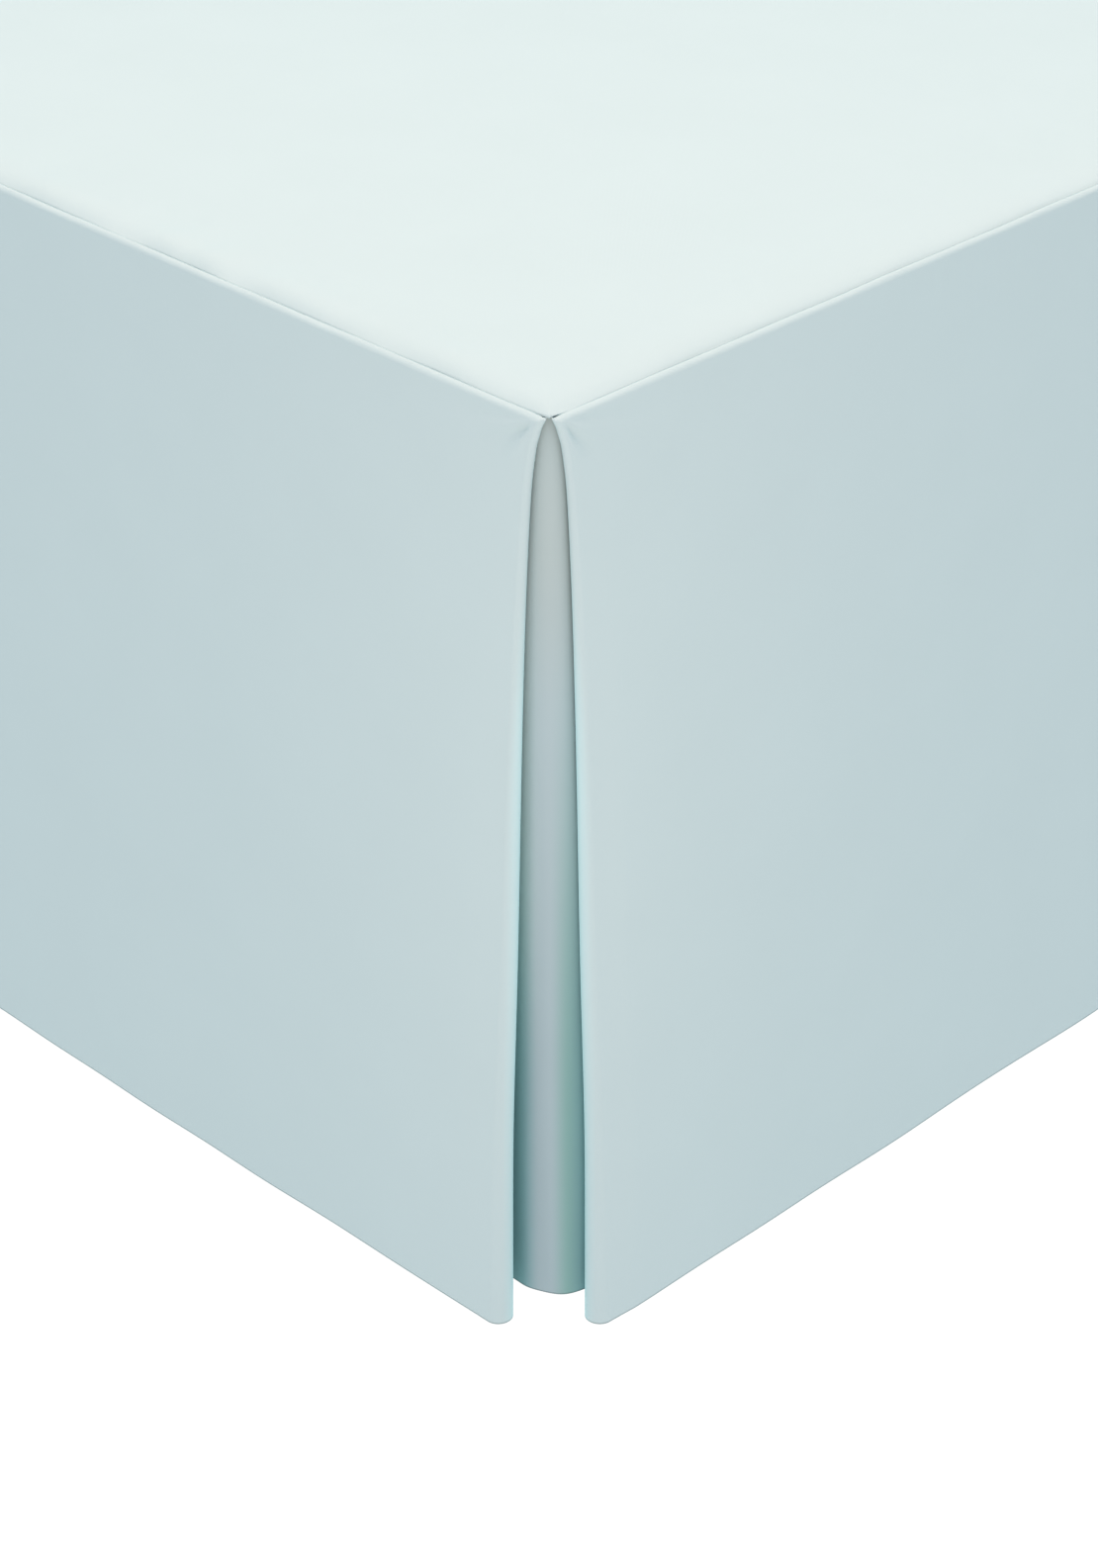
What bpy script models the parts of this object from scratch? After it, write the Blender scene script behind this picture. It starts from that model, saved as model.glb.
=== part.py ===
"""A tailored bed skirt on a plain box spring.

A flat deck cloth lies on the box spring. Three straight drops hang from its seam: one at the foot
(-Y) and one at each side. At both foot corners the drops turn back on themselves as an inverted
pleat: its opening is shut at the seam and grows towards the hem, and a rounded underlay cloth
hangs behind it. The head end (+Y) is open. Units are metres, +Z up, with the floor at z = 0.
"""

import math

import bmesh
import bpy
import numpy as np

# Driving sizes
BED_WIDTH = 1.524          # seam to seam across, X
BED_LENGTH = 2.032         # foot seam to the deck's head edge, Y
DROP = 0.356               # seam to hem
HEM_TO_FLOOR = 0.012
CLOTH = 0.0012             # thickness of every cloth
TOUCH = 0.0003             # gap between pieces that touch

# Deck
DECK_RISE = 0.0025         # flat of the deck above the seam line
SEAM_Z = HEM_TO_FLOOR + DROP
DECK_Z = SEAM_Z + DECK_RISE
DECK_CORNER_PULL = 0.0009  # the turned corner is this far inside the sharp one, along X and Y
DECK_CORNER_REACH = 0.0026 # and pulls the roll in as far as this along each seam
HEAD_HEM_WIDTH = 0.015
# From the seam inwards: distance from the edge, height above the seam line
DECK_EDGE = (
    (0.0000, -0.0002),     # outer face of the rolled seam
    (0.0009, +0.0007),     # top of the roll
    (0.0026, -0.0002),     # groove where deck and drop are sewn together
    (0.0080, +0.0014),     # cloth rises out of the seam
    (0.0190, DECK_RISE),   # flat from here on
)
DECK_COLUMNS = 7           # spans across the flat
DECK_ROWS = 9              # spans along the flat

# Drops and corner pleats
SEAM_ALLOWANCE = 0.0018    # top edges of the hanging cloths below the seam line
PLEAT_DEPTH = 0.090        # from the corner to the pleat's inner fold
FOLD_RADIUS_TOP = 0.0016   # outer radius of the drop's turned edge
FOLD_RADIUS_HEM = 0.0052
# Opening of the pleat seen along the corner's diagonal: depth below the seam, width
PLEAT_OPENING = (
    (0.000, 0.0004),
    (0.005, 0.0040),
    (0.011, 0.0070),
    (0.031, 0.0110),
    (0.093, 0.0157),
    (0.203, 0.0210),
    (0.290, 0.0245),
    (0.356, 0.0250),
)
DEPTHS = (0.0, 0.005, 0.011, 0.020, 0.036, 0.060, 0.095, 0.140, 0.200, 0.275, 0.356)
FOLD_SPANS = 8             # faces round a turned edge
RETURN_SPANS = 2           # faces along the cloth behind the turned edge
NEAR_FOLD = 0.012          # no swell on the turned edge, full swell this far past it

# Underlay behind the opening
UNDERLAY_GAP = 0.0008      # behind the turned-back cloth
UNDERLAY_SHORTER = 0.008   # its hem hangs higher than the drops' hems
UNDERLAY_TURN = 0.005      # the foot side hangs deeper at the hem
UNDERLAY_RADIUS_TOP = 0.006
UNDERLAY_RADIUS_HEM = 0.018
ARM_SPANS = 3
CORNER_SPANS = 8

# Slow swells of the hanging cloth: distance from the foot corner (right corner on the foot drop),
# half width, outward swell at half height, outward swell at the hem
FOOT_SWELLS = (
    (0.100, 0.070, +0.0020, +0.0000),
    (0.330, 0.090, -0.0015, -0.0015),
    (0.560, 0.110, +0.0020, +0.0035),
    (0.800, 0.100, -0.0020, -0.0030),
    (1.040, 0.120, +0.0025, +0.0040),
    (1.260, 0.080, -0.0010, -0.0020),
    (1.430, 0.060, +0.0018, +0.0004),
)
RIGHT_SWELLS = (
    (0.100, 0.080, +0.0022, +0.0000),
    (0.370, 0.100, -0.0015, -0.0020),
    (0.640, 0.120, +0.0022, +0.0040),
    (0.930, 0.110, -0.0020, -0.0030),
    (1.230, 0.130, +0.0028, +0.0045),
    (1.540, 0.110, -0.0020, -0.0030),
    (1.830, 0.120, +0.0020, +0.0050),
)
LEFT_SWELLS = (
    (0.110, 0.070, +0.0018, +0.0004),
    (0.310, 0.090, -0.0015, -0.0020),
    (0.590, 0.120, +0.0025, +0.0045),
    (0.880, 0.100, -0.0020, -0.0035),
    (1.140, 0.110, +0.0020, +0.0030),
    (1.470, 0.140, -0.0025, -0.0035),
    (1.800, 0.110, +0.0020, +0.0050),
)
SIDE_SPANS = 24            # faces along a side drop's flat
SIDE_SPAN_GROWTH = 1.35    # shorter faces near the pleat, longer ones towards the head
FOOT_SPANS = 20
FOOT_SPAN_EASING = 0.65    # share of the easing that shortens the faces near both pleats

# Box spring and legs
SKIRT_CLEARANCE = 0.014    # from the drops' plane to the box spring's side
HEAD_CLEARANCE = 0.008
BOX_HEIGHT = 0.199
BOX_CORNER_RADIUS = 0.030
BOX_TOP_RADIUS = 0.012
BOX_BOTTOM_RADIUS = 0.006
BOX_CORNER_FACES = 5
BOX_EDGE_FACES = 3
LEG_RADIUS_TOP = 0.030
LEG_RADIUS_FOOT = 0.022
LEG_INSET = 0.110          # leg axis from the box spring's sides
LEG_SIDES = 24
SMOOTH_BELOW = math.radians(40)  # edges that turn less than this are shaded smooth
BOX_TOP_Z = DECK_Z - CLOTH - TOUCH
BOX_BOTTOM_Z = BOX_TOP_Z - BOX_HEIGHT
LEG_HEIGHT = BOX_BOTTOM_Z - TOUCH

# Linear colours, roughness, metallic
CLOTH_FINISH = ((0.70, 0.80, 0.80), 0.85, 0.0)
TICKING_FINISH = ((0.62, 0.61, 0.58), 0.90, 0.0)
LEG_FINISH = ((0.10, 0.06, 0.04), 0.45, 0.0)


def finish(name, look):
    """A plain Principled material."""
    colour, roughness, metallic = look
    material = bpy.data.materials.new(name)
    material.use_nodes = True
    shader = material.node_tree.nodes["Principled BSDF"]
    shader.inputs["Base Color"].default_value = (*colour, 1.0)
    shader.inputs["Roughness"].default_value = roughness
    shader.inputs["Metallic"].default_value = metallic
    return material


def add_object(name, mesh, look):
    part = bpy.data.objects.new(name, mesh)
    mesh.materials.append(finish(name, look))
    bpy.context.scene.collection.objects.link(part)
    return part


def cloth(name, outer, inner, look=CLOTH_FINISH):
    """A closed sheet between two grids of points (rows, columns, xyz), its outer and inner face."""
    rows, columns = outer.shape[:2]
    index = np.arange(rows * columns).reshape(rows, columns)
    face = np.stack([index[:-1, :-1], index[1:, :-1], index[1:, 1:], index[:-1, 1:]], axis=-1)
    face = face.reshape(-1, 4)
    around = np.concatenate([index[:, 0], index[-1, 1:], index[-2::-1, -1], index[0, -2::-1]])
    back = rows * columns
    rim = np.column_stack([around[1:], around[:-1], around[:-1] + back, around[1:] + back])
    faces = np.concatenate([face, face[:, ::-1] + back, rim])
    points = np.concatenate([outer.reshape(-1, 3), inner.reshape(-1, 3)])
    mesh = bpy.data.meshes.new(name)
    mesh.from_pydata(points.tolist(), [], faces.tolist())
    mesh.shade_smooth()
    mesh.set_sharp_from_angle(angle=SMOOTH_BELOW)
    return add_object(name, mesh, look)


def hanging_cloth(name, outer):
    """A sheet that hangs: its inner face lies one thickness behind each level of the outer one."""
    run = np.gradient(outer, axis=1)[..., :2]
    run /= np.linalg.norm(run, axis=-1, keepdims=True)
    inner = outer.copy()
    inner[..., 0] += CLOTH * -run[..., 1]
    inner[..., 1] += CLOTH * run[..., 0]
    return cloth(name, outer, inner)


def read_table(table, place):
    """The second column of a table at a place in its first, joined smoothly (monotone cubic)."""
    at, value = np.array(table).T
    slope = np.diff(value) / np.diff(at)
    middle = np.where(slope[:-1] * slope[1:] > 0,
                      2 * slope[:-1] * slope[1:] / (slope[:-1] + slope[1:] + 1e-12), 0.0)
    tangent = np.concatenate([[slope[0]], middle, [slope[-1]]])
    span = int(np.clip(np.searchsorted(at, place) - 1, 0, len(slope) - 1))
    width = at[span + 1] - at[span]
    t = (place - at[span]) / width
    return (value[span] * (1 + 2 * t) * (1 - t) ** 2 + tangent[span] * width * t * (1 - t) ** 2
            + value[span + 1] * t * t * (3 - 2 * t) - tangent[span + 1] * width * t * t * (1 - t))


def fold_radius(depth):
    return FOLD_RADIUS_TOP + (FOLD_RADIUS_HEM - FOLD_RADIUS_TOP) * depth / DROP


def fold_axis(depth):
    """Distance from the corner, along a drop, of the axis that its edge is turned round."""
    radius = fold_radius(depth)
    edge = math.sqrt(2) * (read_table(PLEAT_OPENING, depth) / 2 + radius)
    return edge + radius


def turned_edge(depth):
    """(along, inwards) points from the pleat's inner fold, round the turned edge, to the drop."""
    radius = fold_radius(depth)
    axis = fold_axis(depth)
    back = [(PLEAT_DEPTH + (axis - PLEAT_DEPTH) * step / RETURN_SPANS, 2 * radius)
            for step in range(RETURN_SPANS)]
    turn = [math.pi * step / FOLD_SPANS for step in range(FOLD_SPANS + 1)]
    return back + [(axis - radius * math.sin(a), radius + radius * math.cos(a)) for a in turn]


def swell(table, along, depth, fold):
    """Outward swell of a drop: bell curves along it, each a parabola down its height."""
    share = depth / DROP
    total = 0.0
    for place, half_width, middle, hem in table:
        bell = math.exp(-((along - place) / half_width) ** 2)
        total += bell * (middle * 4 * share * (1 - share) + hem * share ** 2)
    return total * min(1.0, abs(along - fold) / NEAR_FOLD)


def place_on_side(points, corner, along, inwards, depth):
    """World points from (along, inwards) pairs, measured from a corner of the seam."""
    pairs = np.array(points)
    flat = np.array(corner) + np.outer(pairs[:, 0], along) + np.outer(pairs[:, 1], inwards)
    return np.column_stack([flat, np.full(len(flat), SEAM_Z - max(depth, SEAM_ALLOWANCE))])


def side_drop(name, side, table):
    """A side drop, side +1 or -1 in X, from the turned edge at the foot to the head end."""
    rows = []
    for depth in DEPTHS:
        edge = turned_edge(depth)
        start = edge[-1][0]
        flat = []
        for step in range(1, SIDE_SPANS + 1):
            s = start + (BED_LENGTH - start) * (step / SIDE_SPANS) ** SIDE_SPAN_GROWTH
            flat.append((s, -swell(table, s, depth, start)))
        corner = (side * BED_WIDTH / 2, -BED_LENGTH / 2)
        rows.append(place_on_side(edge + flat, corner, (0, 1), (-side, 0), depth))
    grid = np.array(rows)
    return hanging_cloth(name, grid if side > 0 else grid[:, ::-1])


def foot_drop(name, table):
    """The foot drop, with a turned edge at both ends."""
    rows = []
    for depth in DEPTHS:
        edge = turned_edge(depth)
        start = edge[-1][0]
        flat = []
        for step in range(1, FOOT_SPANS):
            even = step / FOOT_SPANS
            eased = (1 - math.cos(math.pi * even)) / 2
            share = even + FOOT_SPAN_EASING * (eased - even)
            s = start + (BED_WIDTH - 2 * start) * share
            near_end = start if s < BED_WIDTH / 2 else BED_WIDTH - start
            flat.append((s, -swell(table, s, depth, near_end)))
        far_edge = [(BED_WIDTH - s, q) for s, q in reversed(edge)]
        corner = (BED_WIDTH / 2, -BED_LENGTH / 2)
        rows.append(place_on_side(edge + flat + far_edge, corner, (-1, 0), (0, 1), depth))
    return hanging_cloth(name, np.array(rows)[:, ::-1])


def pleat_underlay(name, side):
    """The cloth behind a corner's opening: two arms and a round corner, as seen from above."""
    rows = []
    for depth in DEPTHS:
        share = depth / DROP
        behind = 2 * fold_radius(depth) + UNDERLAY_GAP
        side_in = behind
        foot_in = behind + UNDERLAY_TURN * share
        radius = UNDERLAY_RADIUS_TOP + (UNDERLAY_RADIUS_HEM - UNDERLAY_RADIUS_TOP) * share
        axis_x = side_in + radius
        axis_y = foot_in + radius
        foot_arm = [(PLEAT_DEPTH + (axis_x - PLEAT_DEPTH) * step / ARM_SPANS, foot_in)
                    for step in range(ARM_SPANS)]
        turn = [math.pi / 2 * step / CORNER_SPANS for step in range(CORNER_SPANS + 1)]
        bend = [(axis_x - radius * math.sin(a), axis_y - radius * math.cos(a)) for a in turn]
        side_arm = [(side_in, axis_y + (PLEAT_DEPTH - axis_y) * step / ARM_SPANS)
                    for step in range(1, ARM_SPANS + 1)]
        hung = depth * (DROP - UNDERLAY_SHORTER) / DROP
        corner = (side * BED_WIDTH / 2, -BED_LENGTH / 2)
        rows.append(place_on_side(foot_arm + bend + side_arm, corner, (-side, 0), (0, 1), hung))
    grid = np.array(rows)
    return hanging_cloth(name, grid if side > 0 else grid[:, ::-1])


def deck(name):
    """The deck cloth: flat, with the rolled seam and its groove along the foot and both sides."""
    from_edge = [place for place, _ in DECK_EDGE]
    half = BED_WIDTH / 2
    inner = from_edge[-1]
    flat_x = np.linspace(-half + inner, half - inner, DECK_COLUMNS + 1)[1:-1]
    x = [-half + e for e in from_edge] + list(flat_x) + [half - e for e in reversed(from_edge)]
    head = BED_LENGTH / 2
    flat_y = np.linspace(-head + inner, head - HEAD_HEM_WIDTH, DECK_ROWS + 1)[1:]
    y = [-head + e for e in from_edge] + list(flat_y) + [head]
    grid_x, grid_y = np.meshgrid(x, y)
    edge = np.minimum(half - abs(grid_x), grid_y + head)
    rise = np.interp(edge, from_edge, [height for _, height in DECK_EDGE])
    near_x = np.clip(1 - (half - abs(grid_x)) / DECK_CORNER_REACH, 0, 1)
    near_y = np.clip(1 - (grid_y + head) / DECK_CORNER_REACH, 0, 1)
    pull = DECK_CORNER_PULL * near_x * near_y
    grid_x -= np.sign(grid_x) * pull
    grid_y += pull
    top = np.stack([grid_x, grid_y, SEAM_Z + rise], axis=-1)[::-1]
    return cloth(name, top, top - (0.0, 0.0, CLOTH))


def box_spring(name):
    """A plain upholstered box with round upright corners and softened top and bottom edges."""
    width = BED_WIDTH - 2 * SKIRT_CLEARANCE
    length = BED_LENGTH - SKIRT_CLEARANCE - HEAD_CLEARANCE
    centre = (0.0, (SKIRT_CLEARANCE - HEAD_CLEARANCE) / 2, (BOX_TOP_Z + BOX_BOTTOM_Z) / 2)
    body = bmesh.new()
    bmesh.ops.create_cube(body, size=1.0)
    bmesh.ops.scale(body, vec=(width, length, BOX_HEIGHT), verts=body.verts)
    upright = [e for e in body.edges if abs(e.verts[0].co.z - e.verts[1].co.z) > BOX_HEIGHT / 2]
    bmesh.ops.bevel(body, geom=upright, offset=BOX_CORNER_RADIUS, segments=BOX_CORNER_FACES,
                    profile=0.5, affect="EDGES")
    for height, radius in ((BOX_HEIGHT / 2, BOX_TOP_RADIUS), (-BOX_HEIGHT / 2, BOX_BOTTOM_RADIUS)):
        rim = [e for e in body.edges if all(abs(v.co.z - height) < TOUCH for v in e.verts)]
        bmesh.ops.bevel(body, geom=rim, offset=radius, segments=BOX_EDGE_FACES, profile=0.5,
                        affect="EDGES")
    bmesh.ops.translate(body, vec=centre, verts=body.verts)
    mesh = bpy.data.meshes.new(name)
    body.to_mesh(mesh)
    body.free()
    mesh.shade_smooth()
    mesh.set_sharp_from_angle(angle=SMOOTH_BELOW)
    return add_object(name, mesh, TICKING_FINISH)


def leg(name, x, y):
    """A turned leg that tapers to a flat foot on the floor."""
    body = bmesh.new()
    bmesh.ops.create_cone(body, cap_ends=True, segments=LEG_SIDES, radius1=LEG_RADIUS_FOOT,
                          radius2=LEG_RADIUS_TOP, depth=LEG_HEIGHT)
    mesh = bpy.data.meshes.new(name)
    body.to_mesh(mesh)
    body.free()
    mesh.shade_smooth()
    mesh.set_sharp_from_angle(angle=SMOOTH_BELOW)
    part = add_object(name, mesh, LEG_FINISH)
    part.location = (x, y, LEG_HEIGHT / 2)
    return part


def centre_footprint(parts):
    """Move everything so that the middle of its footprint is the origin."""
    bpy.context.view_layer.update()
    corners = np.array([part.matrix_world @ vertex.co for part in parts
                        for vertex in part.data.vertices])
    middle = (corners.min(axis=0) + corners.max(axis=0)) / 2
    for part in parts:
        part.location.x -= middle[0]
        part.location.y -= middle[1]


def build():
    for old in list(bpy.data.objects):
        bpy.data.objects.remove(old, do_unlink=True)
    deck("deck")
    foot_drop("drop_foot", FOOT_SWELLS)
    side_drop("drop_side_right", +1, RIGHT_SWELLS)
    side_drop("drop_side_left", -1, LEFT_SWELLS)
    pleat_underlay("pleat_underlay_right", +1)
    pleat_underlay("pleat_underlay_left", -1)
    box_spring("box_spring")
    leg_x = BED_WIDTH / 2 - SKIRT_CLEARANCE - LEG_INSET
    leg_y = BED_LENGTH / 2 - SKIRT_CLEARANCE - LEG_INSET
    for row, y in (("foot", -leg_y), ("middle", 0.0), ("head", leg_y)):
        leg(f"leg_{row}_left", -leg_x, y)
        leg(f"leg_{row}_right", leg_x, y)
    centre_footprint(list(bpy.data.objects))


build()
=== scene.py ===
"""Looks of a tailored bed skirt, pale aqua microfibre, hung over a plain box spring on turned legs.

Each cloth is a fine sheet on the folds of its CAD solid: the same seam lines, turned edges, pleat
openings and slow swells, with the rolled seam, its puckers and the creases at the corners added.
Metres, +Z up, floor at z = 0, foot of the bed at -Y, head at +Y.
"""

import math

import bpy
import numpy as np
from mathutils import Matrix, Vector


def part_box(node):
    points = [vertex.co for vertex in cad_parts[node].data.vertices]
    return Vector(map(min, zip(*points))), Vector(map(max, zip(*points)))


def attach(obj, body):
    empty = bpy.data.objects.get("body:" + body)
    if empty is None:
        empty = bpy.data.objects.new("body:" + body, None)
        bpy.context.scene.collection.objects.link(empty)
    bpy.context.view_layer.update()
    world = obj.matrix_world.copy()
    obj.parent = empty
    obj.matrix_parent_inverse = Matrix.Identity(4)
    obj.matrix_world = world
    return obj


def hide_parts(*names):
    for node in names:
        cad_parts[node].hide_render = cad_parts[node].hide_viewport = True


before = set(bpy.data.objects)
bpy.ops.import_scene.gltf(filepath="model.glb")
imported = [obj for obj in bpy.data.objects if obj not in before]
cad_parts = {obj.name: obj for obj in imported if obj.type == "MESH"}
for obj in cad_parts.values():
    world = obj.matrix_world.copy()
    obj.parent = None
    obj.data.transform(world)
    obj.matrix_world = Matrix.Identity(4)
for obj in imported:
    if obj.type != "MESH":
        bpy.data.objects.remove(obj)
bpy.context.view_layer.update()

# ---- sizes

DECK_LOW, DECK_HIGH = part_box("deck")
BOX_LOW, BOX_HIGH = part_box("box_spring")
BED_WIDTH = DECK_HIGH.x - DECK_LOW.x
BED_LENGTH = DECK_HIGH.y - DECK_LOW.y
DECK_Z = DECK_HIGH.z
DECK_RISE = 0.0025         # flat of the deck above the seam line
SEAM_Z = DECK_Z - DECK_RISE
HEM_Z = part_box("drop_foot")[0].z
DROP = SEAM_Z - HEM_Z

CLOTH = 0.0006             # one layer
HEM_CLOTH = 0.0016         # three layers of the turned hem
HEM_HEIGHT = 0.025
HEAD_HEM = 0.015
HEM_STEP = 0.0008          # width over which the hem's thickness sets in
RIM_BULGE = 0.42           # how far a cloth's rounded rim stands out, as a share of its thickness

# Rolled top edge of the drops, and the seam behind it
ROLL_RADIUS = 0.0018
ROLL_RISE = -0.0008        # top of the roll above the seam line
ROLL_TURN = math.radians(100)
ROLL_ROWS = 12
ROLL_WAVER = 0.00012       # how unevenly the roll stands up
ROLL_WAVER_LENGTH = 0.060
ROLL_WAVER_LEAN = 0.001    # lean at which it does so in full
TUCK = 0.0014              # cloth that dives into the seam
TUCK_ROWS = 2
TUCK_LEAN = 0.00004        # how far it leans past the roll
TUCK_FADE = 0.005          # beside a pleat's fold, where it no longer dives
TUCK_LIFT = 0.93           # share of the dive that is taken back there
ARC_END = TUCK_ROWS + ROLL_ROWS - 1  # row at which the roll goes over into the hanging cloth
SEAM_GAP = 0.00014         # between the roll and the deck where it comes out of the seam
SEAM_PRESS = 0.6           # share by which the cloth is pressed thinner where a fold enters the seam
SEAM_PRESS_RISE = 0.0015   # cloth in the roll over which that sets in
SEAM_PRESS_REACH = 0.002   # past the fold, where it is gone
RETURN_TOP = 0.0003        # how much lower the turned-back cloth hangs than the front
SQUEEZE = 0.42             # its height beside the front's roll, as a share of the cloth in the roll
SHOULDER_DIP = 0.0003      # how far the roll sinks where it turns down into a pleat's fold
SHOULDER_WIDTH = 0.0020
SHOULDER_REACH = 0.012     # depth at which the folds no longer show it

# Corner pleats, as the solids have them, with the rounder top of the photo
PLEAT_DEPTH = 0.090
FOLD_RADIUS_TOP = 0.0016
FOLD_RADIUS_HEM = 0.0052
# Opening along the corner's diagonal: depth below the seam, width
PLEAT_OPENING = (
    (0.000, 0.0010),
    (0.0006, 0.0012),
    (0.0014, 0.0016),
    (0.0026, 0.0024),
    (0.0050, 0.0041),
    (0.0074, 0.0052),
    (0.0118, 0.0072),
    (0.031, 0.0110),
    (0.093, 0.0157),
    (0.203, 0.0203),
    (0.290, 0.0243),
    (0.356, 0.0250),
)
NEAR_FOLD = 0.012          # no swell on the fold, full swell this far past it
FRONT_TURN = (0.25 * math.pi, 0.95 * math.pi)  # part of the turn in which the front's height sets in
UNDERLAY_GAP = 0.0008
UNDERLAY_TOP = 0.0012      # its top edge below the seam line
UNDERLAY_SHORTER = 0.008
UNDERLAY_TURN = 0.005
UNDERLAY_RADIUS_TOP = 0.006
UNDERLAY_RADIUS_HEM = 0.018
UNDERLAY_MIDDLE = 0.080    # flat place of the cloth's middle, at the opening
UNDERLAY_WAVE = 0.00055    # height of its upright waves at the hem
UNDERLAY_WAVE_LENGTH = 0.016
UNDERLAY_STILL = (0.03, 0.07)  # from its side edges: no waves before the first, all past the second

# The painted highlight along a pleat's fold
FOLD_HIGHLIGHT_TURN = 0.75 * math.pi  # back from the fold's end: outermost as seen from the pleat's front
FOLD_HIGHLIGHT_WIDTH = 0.0025   # half width near the seam
FOLD_HIGHLIGHT_GROWTH = 0.0045  # what is added to it between the next two depths
FOLD_HIGHLIGHT_WIDENS = (0.03, 0.15)
FOLD_HIGHLIGHT_SETS_IN = (0.03, 0.12)

# Slow swells: distance from the foot corner (right corner on the foot drop), half width,
# outward swell at half height, outward swell at the hem
FOOT_SWELLS = (
    (0.100, 0.070, +0.0020, +0.0000),
    (0.330, 0.090, -0.0015, -0.0015),
    (0.560, 0.110, +0.0020, +0.0035),
    (0.800, 0.100, -0.0020, -0.0030),
    (1.040, 0.120, +0.0025, +0.0040),
    (1.260, 0.080, -0.0010, -0.0020),
    (1.430, 0.060, +0.0018, +0.0004),
)
RIGHT_SWELLS = (
    (0.100, 0.080, +0.0022, +0.0000),
    (0.370, 0.100, -0.0015, -0.0020),
    (0.640, 0.120, +0.0022, +0.0040),
    (0.930, 0.110, -0.0020, -0.0030),
    (1.230, 0.130, +0.0028, +0.0045),
    (1.540, 0.110, -0.0020, -0.0030),
    (1.830, 0.120, +0.0020, +0.0050),
)
LEFT_SWELLS = (
    (0.110, 0.070, +0.0018, +0.0004),
    (0.310, 0.090, -0.0015, -0.0020),
    (0.590, 0.120, +0.0025, +0.0045),
    (0.880, 0.100, -0.0020, -0.0035),
    (1.140, 0.110, +0.0020, +0.0030),
    (1.470, 0.140, -0.0025, -0.0035),
    (1.800, 0.110, +0.0020, +0.0050),
)
# Faint upright waves: height at the hem, length
LONG_WAVES = ((0.00035, 0.085), (0.00045, 0.240))

# Puckers under the seam
PUCKER_DEPTH = 0.005       # where they are highest
PUCKER_HEIGHT = 0.00009
PUCKER_LENGTH = 0.0095
PUCKER_PATCH = 0.090       # length of the stretches with more or less of them

# Creases that run from a pleat's top: angle below the seam, length, half width, outward height
FOOT_CREASES = (
    (math.radians(50), 0.016, 0.0022, -0.00120),
    (math.radians(72), 0.020, 0.0030, +0.00060),
    (math.radians(24), 0.022, 0.0028, +0.00065),
    (math.radians(12), 0.032, 0.0026, -0.00050),
)
SIDE_CREASES = (
    (math.radians(62), 0.017, 0.0022, -0.00125),
    (math.radians(34), 0.020, 0.0030, +0.00065),
    (math.radians(14), 0.036, 0.0030, -0.00050),
)
CREASE_START_WIDTH = 0.35  # share of the half width at which a crease starts
CREASE_SETS_IN = 0.15      # share of its length over which it sets in
CREASE_CLEAR = 0.003       # past the fold, where it may have its full height

# The deck's rise out of the seam: height or depth, and width
NARROW_BANK = 0.0035       # width of the steep half of the rise
WIDE_BANK = 0.004          # what the gentle half is wider beside the side drops, near the corner
WIDER_BANK = 0.010         # and what it gains between the next two distances from the foot seam
BANK_WIDENS = (0.05, 0.30)
BANK_POWER = 1.2
VALLEY = (0.0005, 0.0011)  # at a parted seam
DIVE = (0.0006, 0.00018)   # and close by it
SHUT = (0.0001, 0.0008)    # how far the cloth of a shut seam moves over the roll
BY_FOOT = 0.004            # half width of the mitre in which the foot seam takes over from a side's
DECK_GROOVE = ROLL_RADIUS * (1 - math.cos(ROLL_TURN)) + SEAM_GAP
DECK_CORNER_LIFT = (0.0005, 0.006)   # how far the deck's corner stands up between two drops
DECK_CORNER_BLUNT = (0.0008, 0.0035)  # how far it is set back, both ways
# How far a seam is parted: mean, unevenness, its length, seed; and least and most
FOOT_PARTED = (0.35, 0.30, 0.055, 14)
FOOT_LIMITS = (0.1, 1)
SIDE_PARTED = (1.60, 0.45, 0.070, 15)
SIDE_LIMITS = (0.8, 2.2)
CORNER_PARTED = (0.6, 0.040)         # what the foot seam gains at a corner, and its reach
SIDE_PARTS = (0.005, 0.07)           # from the foot seam, where the side seams begin to part

# Ripples of the deck beside the seam: distance from the right foot corner, half width, height
FOOT_RIPPLES = (
    (0.012, 0.004, +0.00025),
    (0.030, 0.008, -0.00020),
    (0.050, 0.010, +0.00045),
    (0.078, 0.012, -0.00025),
    (0.110, 0.012, +0.00030),
    (0.131, 0.008, +0.00050),
    (0.148, 0.006, -0.00030),
    (0.163, 0.007, +0.00045),
    (0.182, 0.008, +0.00040),
    (0.205, 0.012, -0.00030),
    (0.240, 0.016, +0.00030),
)
RIPPLE_PLACE = 0.004       # from the groove, where they are highest
RIPPLE_GAIN = 1.5
SMALL_RIPPLE = 0.00012
FOOT_RIPPLE_LENGTH = 0.045
SIDE_RIPPLE_LENGTH = 0.060

# Widest mesh steps: down a drop, along it near a foot corner, and along it further off
ROW_STEP = 0.0080
FINE_STEP = 0.0024
COARSE_STEP = 0.0072
FINE_REACH = 0.25          # from the corner, where the steps begin to widen
BACK_COLUMNS = 8
TURN_COLUMNS = 19
# The deck's: lines beside a seam, the step to the next, lines in the head hem, steps by place
DECK_NEAR = (0, 0.00006, 0.00012, 0.00018, 0.00026, 0.0004, 0.0006, 0.0009, 0.0013, 0.0018, 0.0025,
             0.0034, 0.0045, 0.006, 0.008, 0.0105, 0.0135, 0.017)
DECK_NEXT = 0.003
DECK_HEM_ROWS = (0.0006, 0.002, 0.006, 0.010, 0.0135, 0.0145, HEAD_HEM)
DECK_STEP_PLACES = (0, 0.27, 0.36)
DECK_STEPS = (0.0026, 0.0026, 0.019)

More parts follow.
